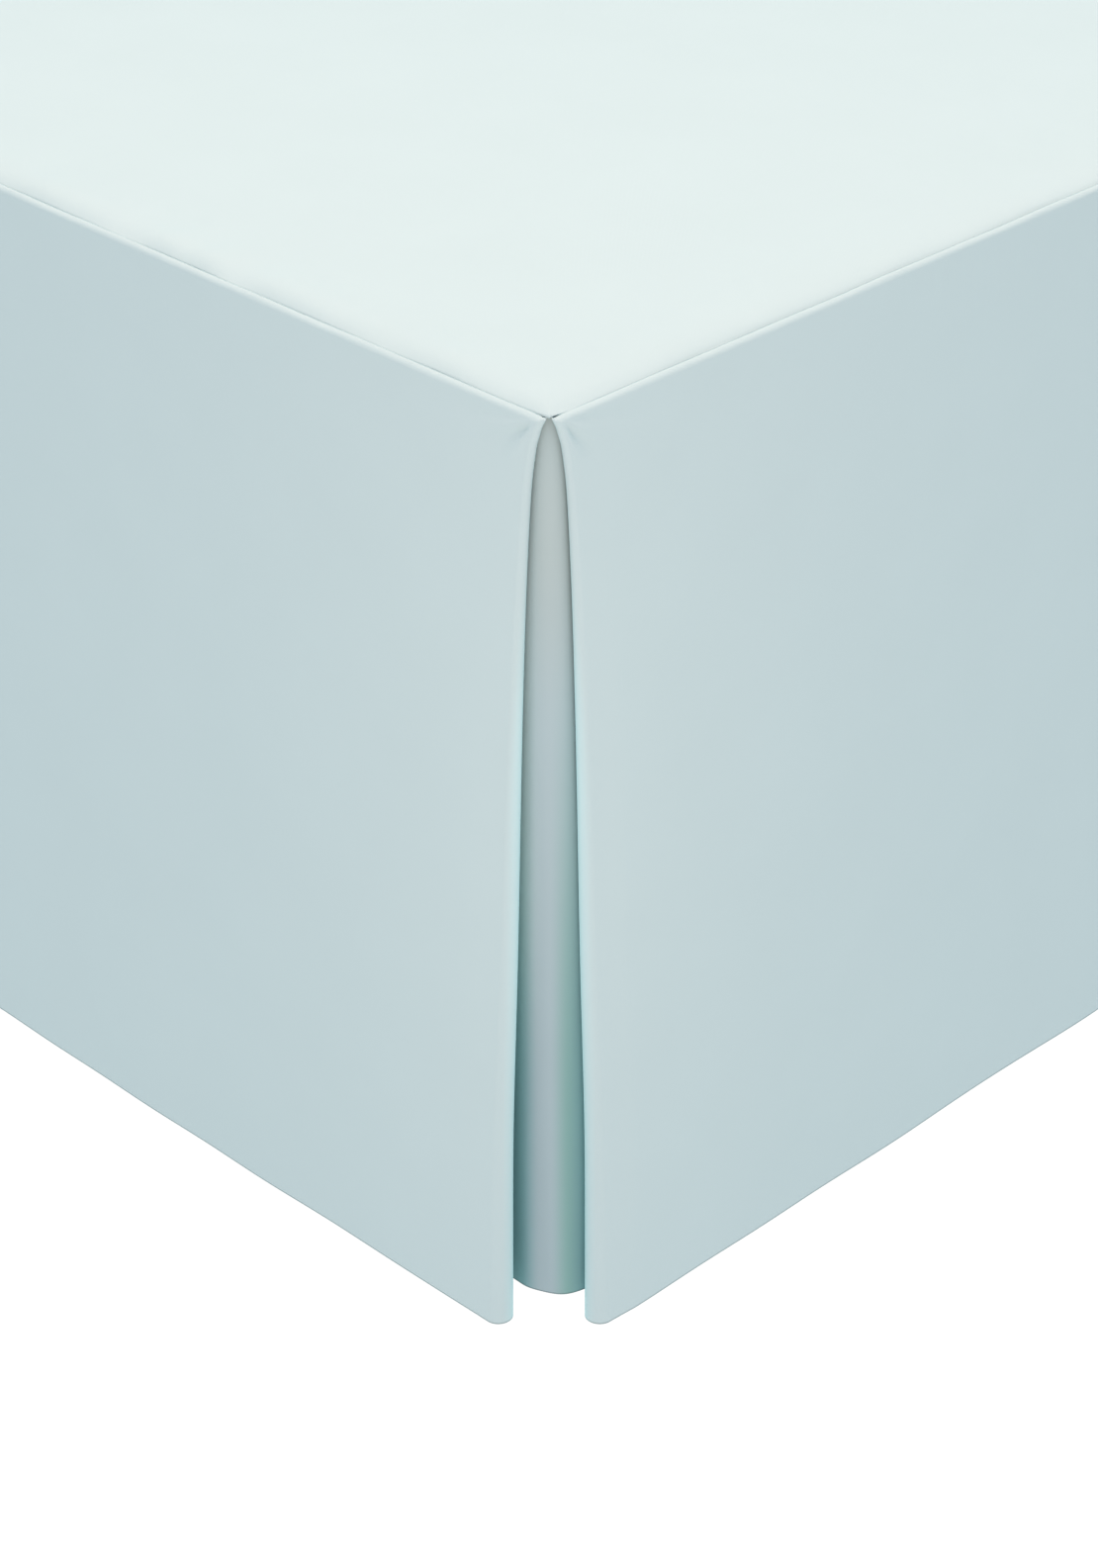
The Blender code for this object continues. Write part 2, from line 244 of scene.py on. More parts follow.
# Box spring and legs
BOX_CORNER_RADIUS = 0.030
BOX_LEAST_RADIUS = 0.004
BOX_EDGE_RADIUS = 0.010
BOX_BOW = 0.0012           # how far its sides bow out
BOX_TOP = BOX_HIGH.z - 0.0004        # a hair under the deck
BOX_BASE = BOX_LOW.z + 0.0012        # leaves room for the felt
CAP_INSETS = (0.24, 0.12, 0.04)      # of the rings on its flat top and base
TAPE_WIDTH = 0.022
TAPE_CLOTH = 0.0009
TAPE_GAP = 0.0001
TAPE_OVER = 100            # degrees that it reaches round the edge
TAPE_START = 0.001         # degrees past level, where its arc ends
DUST_COVER_INSET = 0.012
DUST_COVER_CLOTH = 0.0003
DUST_COVER_RISE = 0.0007
DUST_COVER_WAVE = 0.0001
LEG_RADIUS_TOP = 0.030
LEG_RADIUS_FOOT = 0.022
LEG_TOP_EDGE = (0.0015, 0.001)       # its bevel, across and down
BEAD_CUT = 0.0012
BEAD_TOP = 0.002
BEAD_HEIGHT = 0.012
SHAFT_TOP = 0.0165
SHAFT_FOOT = 0.0035
LEG_FOOT_EDGE = 0.0025
GLIDE_HEIGHT = 0.004
GLIDE_INSET = 0.0035
# Glide: distance inside its rim, height
GLIDE_PROFILE = ((0, GLIDE_HEIGHT - 0.00005), (0, 0.0012), (0.0003, 0.0005), (0.0012, 0))
FLOOR_Z = -0.0002
FLOOR_REACH = 40.0

# Camera: level distance from the foot corner, height above the seam in shares of it
CAMERA_DISTANCE = 1.063
CAMERA_RISE = 0.4725
CAMERA_TILT = math.radians(90 - 30.57)
CAMERA_TURN = math.radians(45)
CAMERA_LENS = 90.19
CAMERA_SENSOR = 36

# Lights
WORLD_STRENGTH = 0.83
FLOOR_GLOW = 1.0
COOL = "#e2f0fe"
WARM = "#ffe2cc"

RIGHT_CORNER = np.array((DECK_HIGH.x, DECK_LOW.y))
LEFT_CORNER = np.array((DECK_LOW.x, DECK_LOW.y))


# ---- curves and tables

def s_curve(low, high, value):
    """0 below low, 1 above high, and a smooth cubic step between."""
    t = np.clip((value - low) / (high - low), 0, 1)
    return t * t * (3 - 2 * t)


def bell(value, centre, half_width):
    """A bell curve of height 1: e to the minus square of the distance in half widths."""
    return np.exp(-((value - centre) / half_width) ** 2)


def read_table(table, place):
    """The second column of a table at places in its first, joined smoothly (monotone cubic)."""
    at, value = np.array(table).T
    slope = np.diff(value) / np.diff(at)
    middle = np.where(slope[:-1] * slope[1:] > 0,
                      2 * slope[:-1] * slope[1:] / (slope[:-1] + slope[1:] + 1e-12), 0.0)
    tangent = np.concatenate([[slope[0]], middle, [slope[-1]]])
    span = np.clip(np.searchsorted(at, place) - 1, 0, len(slope) - 1)
    width = at[span + 1] - at[span]
    t = (place - at[span]) / width
    return (value[span] * (1 + 2 * t) * (1 - t) ** 2 + tangent[span] * width * t * (1 - t) ** 2
            + value[span + 1] * t * t * (3 - 2 * t) - tangent[span + 1] * width * t * t * (1 - t))


def uneven(place, wavelength, seed):
    """Irregular waves of about -1 to 1: six sines with lengths near the given one, at odd phases."""
    dice = np.random.default_rng(seed)
    total = 0.0
    for _ in range(6):
        length = wavelength * dice.uniform(0.6, 1.6)
        total = total + np.sin(2 * math.pi * (place / length + dice.uniform()))
    return total / 3


def spread(length, step_at):
    """Places from 0 to length that lie step_at(place) apart."""
    fine = np.linspace(0, length, 6001)
    middle = (fine[1:] + fine[:-1]) / 2
    count = np.concatenate([[0], np.cumsum(np.diff(fine) / step_at(middle))])
    return np.interp(np.linspace(0, count[-1], int(count[-1]) + 2), count, fine)


def step_near(distance, least, growth):
    """A mesh step that is least at a line and grows evenly with the distance from it."""
    return least + growth * abs(distance)


# ---- meshes

def add_piece(name, points, faces, flat=None):
    """A mesh object of points and faces, with its flat cloth place in metres as the UV map.

    A third column of flat, 0 to 1, says how near the cloth is to a pleat's fold, for the highlight painted
    there.
    """
    mesh = bpy.data.meshes.new(name)
    mesh.from_pydata(points.tolist(), [], faces)
    if flat is not None:
        corner = np.empty(len(mesh.loops), np.int32)
        mesh.loops.foreach_get("vertex_index", corner)
        layer = mesh.uv_layers.new(name="cloth")
        layer.data.foreach_set("uv", flat[corner, :2].astype(np.float32).ravel())
        if flat.shape[1] == 3:
            share = mesh.attributes.new("fold", "FLOAT", "POINT")
            share.data.foreach_set("value", flat[:, 2].astype(np.float32))
    mesh.shade_smooth()
    piece = bpy.data.objects.new(name, mesh)
    bpy.context.scene.collection.objects.link(piece)
    return piece


def grid_quads(index):
    """The quads between neighbouring rows and columns of a grid of point numbers."""
    quads = np.stack([index[:-1, :-1], index[1:, :-1], index[1:, 1:], index[:-1, 1:]], axis=-1)
    return quads.reshape(-1, 4)


def closed_sheet(name, outer, thickness, flat):
    """A sheet with two faces and a rounded rim.

    The inner face lies the cloth's thickness behind the outer one, against the normal, which is
    the cross product of the grid's two directions. The rim's middle line stands out past both
    faces by less than half the thickness.
    """
    rows, columns = outer.shape[:2]
    normal = np.cross(np.gradient(outer, axis=0), np.gradient(outer, axis=1))
    normal /= np.linalg.norm(normal, axis=-1, keepdims=True)
    inner = outer - thickness[..., None] * normal
    down = np.concatenate([np.arange(rows), np.full(columns - 1, rows - 1),
                           np.arange(rows - 2, -1, -1), np.zeros(columns - 2, int)])
    along = np.concatenate([np.zeros(rows, int), np.arange(1, columns),
                            np.full(rows - 1, columns - 1), np.arange(columns - 2, 0, -1)])
    inside = (np.clip(down, 1, rows - 2), np.clip(along, 1, columns - 2))
    outward = outer[down, along] - outer[inside]
    outward /= np.linalg.norm(outward, axis=-1, keepdims=True)
    bulge = RIM_BULGE * thickness[down, along][:, None]
    rim = (outer[down, along] + inner[down, along]) / 2 + bulge * outward
    index = np.arange(rows * columns).reshape(rows, columns)
    back = rows * columns
    front = grid_quads(index)
    edge = index[down, along]
    line = 2 * back + np.arange(len(edge))
    after = np.roll(edge, -1)
    after_line = np.roll(line, -1)
    faces = np.concatenate([front, front[:, ::-1] + back,
                            np.column_stack([after, edge, line, after_line]),
                            np.column_stack([after_line, line, edge + back, after + back])])
    points = np.concatenate([outer.reshape(-1, 3), inner.reshape(-1, 3), rim])
    row = flat.reshape(-1, flat.shape[-1])
    places = np.concatenate([row, row, flat[down, along]])
    return add_piece(name, points, faces.tolist(), places)


# ---- the skirt's cloths

def hem_share(edge, place):
    """0 on the plain cloth and 1 on its hem, which begins at edge."""
    return s_curve(edge - HEM_STEP / 2, edge + HEM_STEP / 2, place)


def cloth_thickness(hem):
    """One layer on the plain cloth, and all layers where the share of hem is 1."""
    return CLOTH + (HEM_CLOTH - CLOTH) * hem


def fold_radius(depth):
    """Radius of a pleat's fold: grows evenly from the seam to the hem."""
    return FOLD_RADIUS_TOP + (FOLD_RADIUS_HEM - FOLD_RADIUS_TOP) * depth / DROP


def fold_axis(depth):
    """Distance from the corner, along a drop, of the axis that its edge is turned round."""
    radius = fold_radius(depth)
    return math.sqrt(2) * (read_table(PLEAT_OPENING, depth) / 2 + radius) + radius


def swell(table, along, depth):
    """Slow outward swell: bell curves along the drop, each a parabola down its height."""
    share = depth / DROP
    total = 0.0
    for place, half_width, middle, hem in table:
        height = middle * 4 * share * (1 - share) + hem * share ** 2
        total = total + bell(along, place, half_width) * height
    return total


def seam_puckers(along, below, seed):
    """Small puckers under the seam: x times e to the 1 - x down the cloth, x in PUCKER_DEPTHs."""
    fade = below / PUCKER_DEPTH * np.exp(1 - below / PUCKER_DEPTH)
    size = 0.6 + 0.4 * uneven(along, PUCKER_PATCH, seed + 1)
    return PUCKER_HEIGHT * fade * size * uneven(along, PUCKER_LENGTH, seed)


def long_waves(along, depth, seed):
    """Faint upright waves of the hanging cloth, from nothing at the seam to full at the hem."""
    share = np.clip(depth / DROP, 0, 1)
    return share * sum(height * uneven(along, length, seed + number)
                       for number, (height, length) in enumerate(LONG_WAVES))


def corner_creases(table, along, below):
    """Soft troughs and ridges that run out from a pleat's top and fade along their length."""
    total = 0.0
    for angle, length, half_width, height in table:
        far = along * math.cos(angle) + below * math.sin(angle)
        off = below * math.cos(angle) - along * math.sin(angle)
        wide = half_width * (CREASE_START_WIDTH + np.clip(far, 0, None) / length)
        fade = s_curve(0, CREASE_SETS_IN * length, far) * np.exp(-(np.clip(far, 0, None) / length) ** 2)
        total = total + height * fade * bell(off, 0, wide)
    return total


def drop_rows():
    """A drop's height, lean towards the bed and flat length, row by row from seam to hem.

    The cloth comes up out of the seam, turns over the roll, an arc of ROLL_RADIUS, and hangs.
    """
    centre = SEAM_Z + ROLL_RISE - ROLL_RADIUS
    angle = np.linspace(ROLL_TURN, 0, ROLL_ROWS)
    arc_lean = ROLL_RADIUS * (1 - np.cos(angle))
    arc_height = centre + ROLL_RADIUS * np.sin(angle)
    hang = centre - HEM_Z

    def step(place):
        """Finest at the roll and at both lines of the hem, and wider with the distance from them."""
        to_hem = hang - place
        coarse = np.minimum(step_near(place, 0.0008, 0.045), ROW_STEP)
        near_hem = np.minimum(step_near(to_hem, 0.0005, 0.22),
                              step_near(to_hem - HEM_HEIGHT, 0.0004, 0.35))
        return np.minimum(coarse, near_hem)

    wall = spread(hang, step)[1:]
    tuck = np.linspace(TUCK, 0, TUCK_ROWS + 1)[:-1]
    height = np.concatenate([arc_height[0] - tuck, arc_height, centre - wall])
    lean = np.concatenate([np.full(TUCK_ROWS, arc_lean[0] + TUCK_LEAN), arc_lean, np.zeros(len(wall))])
    run = np.hypot(np.diff(height), np.diff(lean))
    return height, lean, np.concatenate([[0], np.cumsum(run)])


def turned_end(height, depth, above):
    """A drop's turned end: s along the drop, q inwards, flat place u, and the front's share.

    From the pleat's inner fold the cloth runs back at q = 2r, and then half round a circle of
    radius r. The front's share is 0 on the turned-back layer, which is squeezed flat beside the
    roll, and goes to 1 within the turn. Also returned are that layer's height, the dip of the
    shoulder, and the radius and axis at the fold's end.
    """
    back_depth = np.where(above > 0, depth[ARC_END], depth)
    back_height = SEAM_Z - RETURN_TOP - back_depth * (1 - RETURN_TOP / DROP) + SQUEEZE * above
    dip = SHOULDER_DIP * np.clip(1 - depth / SHOULDER_REACH, 0, 1) ** 2
    back = np.linspace(0, 1, BACK_COLUMNS + 1)[:-1]
    turn = np.linspace(0, math.pi, TURN_COLUMNS)
    front = np.concatenate([np.zeros(BACK_COLUMNS), s_curve(*FRONT_TURN, turn)])
    z = back_height + (height[:, None] - back_height) * front - dip
    end_depth = np.clip(SEAM_Z - z, 0, DROP)
    all_radius, all_axis = fold_radius(end_depth), fold_axis(end_depth)

    back_s = PLEAT_DEPTH + (all_axis[:, :BACK_COLUMNS] - PLEAT_DEPTH) * back
    radius, axis = all_radius[:, BACK_COLUMNS:], all_axis[:, BACK_COLUMNS:]
    s = np.concatenate([back_s, axis - radius * np.sin(turn)], axis=1)
    q = np.concatenate([2 * all_radius[:, :BACK_COLUMNS], radius + radius * np.cos(turn)], axis=1)
    radius, axis = radius[:, -1:], axis[:, -1:]
    back_u = axis - math.pi * radius - (back_s - axis)
    u = np.concatenate([back_u, axis - radius * (math.pi - turn)], axis=1)
    return s, q, u, front, back_height, dip, radius, axis


def column_step(place, length, turned_far):
    """Mesh step along a drop: finest at the folds and the head hem, coarse past FINE_REACH."""
    near = np.minimum(place, length - place) if turned_far else place
    fine = np.minimum(step_near(near, 0.0006, 0.10), FINE_STEP)
    coarse = np.minimum(FINE_STEP + 0.05 * np.clip(near - FINE_REACH, 0, None), COARSE_STEP)
    step = np.maximum(fine, coarse * (near > FINE_REACH))
    if turned_far:
        return step
    to_end = np.minimum(step_near(length - place, 0.0005, 0.2),
                        step_near(length - HEAD_HEM - place, 0.0004, 0.3))
    return np.minimum(step, to_end)


def drop_relief(swells, creases, seed, place, folds, depth, below):
    """How far a drop's cloth stands out: swells, waves and puckers, and each fold's creases.

    folds holds the distances from one or both folds, place that from the foot corner.
    """
    blend = np.clip(np.minimum.reduce(folds) / NEAR_FOLD, 0, 1)
    outward = (swell(swells, place, depth) + long_waves(place, depth, seed)) * blend
    outward = outward + seam_puckers(place, below, seed + 7) * blend
    for past_fold in folds:
        outward = outward + corner_creases(creases, past_fold, below) * s_curve(0, CREASE_CLEAR, past_fold)
    return outward


def drop_cloth(name, corner, along, inwards, length, swells, creases, seed, turned_far):
    """A drop: turned edge, hanging cloth, and at the far end another turned edge or a hem.

    Level by level the cloth's line runs (s along the drop, q inwards): through the turned end,
    and on in the drop's plane. Above the seam line the front layer leans inwards over the roll.
    """
    height, lean, run = drop_rows()
    depth = np.clip(SEAM_Z - height, 0, DROP)[:, None]
    above = np.clip(run[ARC_END] - run, 0, None)[:, None]
    below = np.clip(run[:, None] - run[ARC_END], 0, None)
    end_s, end_q, end_u, end_front, back_height, dip, radius, axis = turned_end(height, depth, above)

    share = spread(length, lambda place: column_step(place, length, turned_far)) / length
    far_s = length - axis if turned_far else length + 0 * axis
    flat_s = axis + (far_s - axis) * share[1:-1 if turned_far else None]
    folds = [flat_s - axis] + ([length - axis - flat_s] if turned_far else [])
    outward = drop_relief(swells, creases, seed, flat_s, folds, depth, below)

    def join(end, middle, far_end):
        """All columns of the drop: a far end that is turned too comes last, the other way round."""
        return np.concatenate([end, middle] + ([far_end[..., ::-1]] if turned_far else []), axis=-1)

    s = join(end_s, flat_s, length - end_s)
    q = join(end_q, -outward, end_q)
    u = join(end_u, flat_s, length - end_u)
    front = join(end_front, np.ones(flat_s.shape[1]), end_front)

    past_fold = (np.minimum(s, length - s) if turned_far else s) - axis
    waver = ROLL_WAVER * uneven(s, ROLL_WAVER_LENGTH, seed + 3)
    roll_height = height[:, None] + waver * s_curve(0, ROLL_WAVER_LEAN, lean)[:, None]
    tucked = np.zeros_like(run)
    tucked[:TUCK_ROWS] = height[TUCK_ROWS] - height[:TUCK_ROWS]
    at_end = 1 - s_curve(0, TUCK_FADE, past_fold)
    roll_height = roll_height + TUCK_LIFT * tucked[:, None] * at_end
    shoulder = np.clip(1 - past_fold / SHOULDER_WIDTH, 0, 1) ** 2
    z = back_height + (roll_height - back_height) * front
    z = z - dip * np.where(front < 1, 1, shoulder)
    past_roll = np.clip(lean[:, None] - lean[TUCK_ROWS], 0, None) * at_end
    q = q + (lean[:, None] - TUCK_LIFT * past_roll) * front
    level = corner + s[..., None] * along + q[..., None] * inwards
    outer = np.concatenate([level, z[..., None]], axis=-1)

    hem = np.broadcast_to(hem_share(DROP - HEM_HEIGHT, depth), s.shape)
    if not turned_far:
        hem = np.maximum(hem, hem_share(length - HEAD_HEM, s))
    in_seam = s_curve(0, SEAM_PRESS_RISE, above) * (1 - s_curve(0, SEAM_PRESS_REACH, past_fold))
    thickness = cloth_thickness(hem) * (1 - SEAM_PRESS * in_seam)

    # Painted highlight along each pleat's fold: a share that is 1 on the fold's outermost line and sets in
    # below the seam
    fold_line = axis - FOLD_HIGHLIGHT_TURN * radius
    off_fold = np.abs(u - fold_line)
    if turned_far:
        off_fold = np.minimum(off_fold, np.abs(length - u - fold_line))
    highlight_width = FOLD_HIGHLIGHT_WIDTH + FOLD_HIGHLIGHT_GROWTH * s_curve(*FOLD_HIGHLIGHT_WIDENS, depth)
    fold_painted_highlight = s_curve(highlight_width, 0, off_fold) * s_curve(*FOLD_HIGHLIGHT_SETS_IN, depth)
    flat = np.stack([u, run[:, None] + 0 * u, fold_painted_highlight], axis=-1)

    facing_out = along[0] * inwards[1] - along[1] * inwards[0] > 0
    if not facing_out:
        outer, thickness, flat = outer[:, ::-1], thickness[:, ::-1], flat[:, ::-1]
    piece = closed_sheet(name, outer, thickness, flat)
    return piece


def underlay_cloth(name, corner, side, seed):
    """The cloth behind a corner's opening: two arms and a round corner, as seen from above."""
    depth = spread(DROP, lambda place: np.minimum(step_near(place, 0.0015, 0.03),
                                                  step_near(DROP - place, 0.0005, 0.2)))
    depth = depth[:, None]
    share = depth / DROP
    side_in = 2 * fold_radius(depth) + UNDERLAY_GAP
    foot_in = side_in + UNDERLAY_TURN * share
    radius = UNDERLAY_RADIUS_TOP + (UNDERLAY_RADIUS_HEM - UNDERLAY_RADIUS_TOP) * share
    axis_x = side_in + radius
    axis_y = foot_in + radius
    step = np.linspace(0, 1, 25)[:-1]
    turn = np.linspace(0, math.pi / 2, 33)
    foot_x = PLEAT_DEPTH + (axis_x - PLEAT_DEPTH) * step
    side_y = axis_y + (PLEAT_DEPTH - axis_y) * (1 - step[::-1])
    x = np.concatenate([foot_x, axis_x - radius * np.sin(turn), side_in + 0 * side_y], axis=1)
    y = np.concatenate([foot_in + 0 * foot_x, axis_y - radius * np.cos(turn), side_y], axis=1)
    run = np.concatenate([np.zeros_like(depth), np.cumsum(np.hypot(np.diff(x), np.diff(y)), axis=1)],
                         axis=1)
    turned_by = np.concatenate([0 * step, turn, 0 * step + math.pi / 2])
    wave = share * UNDERLAY_WAVE * uneven(run, UNDERLAY_WAVE_LENGTH, seed) * s_curve(*UNDERLAY_STILL, run)
    wave = wave * s_curve(*UNDERLAY_STILL, run[:, -1:] - run)
    x = x - wave * np.sin(turned_by)
    y = y - wave * np.cos(turned_by)
    hung = depth * (DROP - UNDERLAY_SHORTER) / DROP
    z = SEAM_Z - UNDERLAY_TOP - hung * (1 - UNDERLAY_TOP / DROP)
    outer = np.stack([corner[0] - side * x, corner[1] + y, z + 0 * x], axis=-1)
    thickness = cloth_thickness(hem_share(DROP - HEM_HEIGHT, depth) + 0 * x)
    flat = np.stack([run - run[:, -1:] / 2 + UNDERLAY_MIDDLE, depth + 0 * run], axis=-1)
    if side < 0:
        outer, thickness, flat = outer[:, ::-1], thickness[:, ::-1], flat[:, ::-1]
    piece = closed_sheet(name, outer, thickness, flat)
    return piece


def deck_profile(edge, wide, parted):
    """Height of the deck above the seam line: out of the seam, up a soft bank, and on to the flat.

    Half of the bank rises within NARROW_BANK and half within the given width. Where the seam is
    parted, 1, the deck starts in a valley; where it is shut, 0, it starts level with the roll.
    """
    out = np.clip(edge - DECK_GROOVE, 0, None)
    valley = -VALLEY[0] * parted * np.exp(-out / VALLEY[1])
    dive = -DIVE[0] * parted * np.exp(-(out / DIVE[1]) ** 2)
    steep = 1 - np.exp(-(out / NARROW_BANK) ** BANK_POWER)
    gentle = 1 - np.exp(-(out / wide) ** BANK_POWER)
    bank = ROLL_RISE + (DECK_RISE - ROLL_RISE) * (steep + gentle) / 2
    return valley + dive + bank


def varied(row, place):
    """A mean with irregular waves added, for a row of mean, unevenness, length and seed."""
    mean, unevenness, length, seed = row
    return mean + unevenness * uneven(place, length, seed)


def seam_parting(s, t, edge_x, by_foot):
    """How far the seam is parted: uneven along it, more at the foot corners of the foot seam."""
    gain, reach = CORNER_PARTED
    foot = np.clip(varied(FOOT_PARTED, s) + gain * np.exp(-edge_x / reach), *FOOT_LIMITS)
    side = np.clip(varied(SIDE_PARTED, t), *SIDE_LIMITS) * s_curve(*SIDE_PARTS, t)
    return side + (foot - side) * by_foot


def deck_ripples(s, t, edge, by_foot):
    """Ripples of the deck along the seams, highest RIPPLE_PLACE from the groove."""
    beside = (edge - DECK_GROOVE) / RIPPLE_PLACE
    fade = RIPPLE_GAIN * beside * np.exp(1 - beside)
    ripple = sum(height * bell(s, place, half) for place, half, height in FOOT_RIPPLES)
    ripple = ripple + SMALL_RIPPLE * uneven(s, FOOT_RIPPLE_LENGTH, 11)
    side_ripple = SMALL_RIPPLE * uneven(t, SIDE_RIPPLE_LENGTH, 12)
    return fade * (ripple * by_foot + side_ripple * (1 - by_foot))


def deck_hollows(s, t, edge):
    """Shallow slanting hollows of the deck's flat: the part of two long waves that lies below 0."""
    flat_part = s_curve(0.02, 0.20, edge) * s_curve(0, 0.10, BED_LENGTH - t)
    drag = 0.00035 * uneven(s + 0.35 * t, 0.34, 21) + 0.00030 * uneven(t - 0.25 * s, 0.42, 22)
    return flat_part * (np.minimum(drag, 0.0) * 0.8)


def deck_cloth(name):
    """The deck: flat on the box spring, with a lip and ripples along the seams on three sides."""
    near = DECK_GROOVE + np.array(DECK_NEAR)
    inner = near[-1] + DECK_NEXT
    across, down = (spread(length, lambda place: np.interp(place, DECK_STEP_PLACES, DECK_STEPS))
                    for length in (BED_WIDTH - 2 * inner, BED_LENGTH - inner - HEAD_HEM))
    x = np.concatenate([near, inner + across, BED_WIDTH - near[::-1]])
    y = np.concatenate([near, inner + down, BED_LENGTH - HEAD_HEM + np.array(DECK_HEM_ROWS)])
    s, t = np.meshgrid(x, y)        # from the right seam, from the foot seam
    edge_x = np.minimum(s, BED_WIDTH - s)
    edge = np.minimum(edge_x, t)
    by_foot = s_curve(-BY_FOOT, BY_FOOT, edge_x - t)
    wide = NARROW_BANK + (WIDE_BANK + WIDER_BANK * s_curve(*BANK_WIDENS, t)) * (1 - by_foot)
    parted = seam_parting(s, t, edge_x, by_foot)
    rise = deck_profile(edge, wide, parted)
    rise = rise + deck_ripples(s, t, edge, by_foot)
    rise = rise + deck_hollows(s, t, edge)
    from_corner_point = np.hypot(edge_x - DECK_GROOVE, t - DECK_GROOVE)
    rise = rise + DECK_CORNER_LIFT[0] * bell(from_corner_point, 0, DECK_CORNER_LIFT[1])
    shut = SHUT[0] * np.clip(1 - parted, 0, 1) * np.exp(-(edge - DECK_GROOVE) / SHUT[1])
    blunt = DECK_CORNER_BLUNT[0] * bell(from_corner_point, 0, DECK_CORNER_BLUNT[1])
    toward = np.where(s < BED_WIDTH / 2, 1, -1)
    x = DECK_HIGH.x - s + toward * (shut * (1 - by_foot) - blunt)
    y = DECK_LOW.y + t - shut * by_foot + blunt
    points = np.stack([x, y, SEAM_Z + rise], axis=-1)
    thickness = cloth_thickness(hem_share(BED_LENGTH - HEAD_HEM, t))
    piece = closed_sheet(name, points, thickness, np.stack([s, t], axis=-1))
    return piece


# ---- box spring and legs

def rounded_outline(half_x, half_y, radius, arc_points=9, side_points=14):
    """Points round a rectangle with round corners, anticlockwise seen from above.

    half_x, half_y and radius are columns, one row for each ring. Each corner is a quarter circle,
    and the straight sides are shared out evenly between the ends of two arcs.
    """
    angle = np.linspace(0, math.pi / 2, arc_points)
    rings = []
    for corner, (sign_x, sign_y) in enumerate(((1, 1), (-1, 1), (-1, -1), (1, -1))):
        a = angle + corner * math.pi / 2
        arc_x = sign_x * (half_x - radius) + radius * np.cos(a)
        arc_y = sign_y * (half_y - radius) + radius * np.sin(a)
        rings.append(np.stack([arc_x, arc_y], axis=-1))
    share = (np.arange(side_points) + 1)[:, None] / (side_points + 1)
    joined = []
    for corner, arc in enumerate(rings):
        start, end = arc[:, -1:], rings[(corner + 1) % 4][:, :1]
        joined += [arc, start + (end - start) * share]
    return np.concatenate(joined, axis=1)


def ring_body(name, rings, capped):
    """A closed body of rings of points: quads between rings, and a cap, or a last ring joined on."""
    count, around = rings.shape[:2]
    index = np.arange(count * around).reshape(count, around)
    index = np.concatenate([index, index[:, :1]], axis=1)
    if not capped:
        index = np.concatenate([index, index[:1]], axis=0)
    faces = grid_quads(index).tolist()
    if capped:
        faces += [index[0, :-1].tolist(), index[-1, :-1][::-1].tolist()]
    return add_piece(name, rings.reshape(-1, 3), faces)


def box_rings(profile):
    """Rings round the box spring for (inset from its sides, height) pairs."""
    inset, height = (column[:, None] for column in np.array(profile).T)
    half_x = (BOX_HIGH.x - BOX_LOW.x) / 2 - inset
    half_y = (BOX_HIGH.y - BOX_LOW.y) / 2 - inset
    radius = np.maximum(BOX_CORNER_RADIUS - inset, BOX_LEAST_RADIUS)
    outline = rounded_outline(half_x, half_y, radius)
    outline = outline + ((BOX_HIGH.x + BOX_LOW.x) / 2, (BOX_HIGH.y + BOX_LOW.y) / 2)
    return np.concatenate([outline, np.broadcast_to(height[..., None], outline[..., :1].shape)], axis=-1)


def edge_arc(inset, height, radius, start, end, count):
    """(inset, height) pairs on an arc about a point, from one angle to another, 0 straight out."""
    angle = np.radians(np.linspace(start, end, count))
    return [(inset - radius * math.cos(a), height + radius * math.sin(a)) for a in angle]


def box_spring_cover(name):
    """The box spring: a flat top and base, softly rounded edges, and sides that bow out a little."""
    r = BOX_EDGE_RADIUS
    low, high = BOX_BASE, BOX_TOP
    sides = [(BOX_BOW - BOX_BOW * math.sin(math.pi * t), high - r + (low - high + 2 * r) * t)
             for t in np.linspace(0, 1, 15)[1:-1]]
    profile = ([(inset, high) for inset in CAP_INSETS] + edge_arc(r + BOX_BOW, high - r, r, 90, 0, 8)
               + sides + edge_arc(r + BOX_BOW, low + r, r, 0, -90, 8)
               + [(inset, low) for inset in CAP_INSETS[::-1]])
    piece = ring_body(name, box_rings(profile)[:, ::-1], True)
    return piece


def edge_tape(name, top):
    """Binding over the box spring's top or bottom edge: a thin band that follows the round edge."""
    r = BOX_EDGE_RADIUS
    height = BOX_TOP - r if top else BOX_BASE + r
    start, end = (TAPE_OVER, -TAPE_START) if top else (TAPE_START, -TAPE_OVER)
    over = edge_arc(BOX_BOW + r, height, r + TAPE_CLOTH, start, end, 10)
    under = edge_arc(BOX_BOW + r, height, r + TAPE_GAP, end, start, 10)
    reach = TAPE_WIDTH - math.radians(90) * r
    rim = height - reach if top else height + reach
    out = [(BOX_BOW - TAPE_CLOTH, rim), (BOX_BOW - TAPE_GAP, rim)]
    profile = over + out + under if top else over + under + out[::-1]
    return ring_body(name, box_rings(profile)[:, ::-1], False)


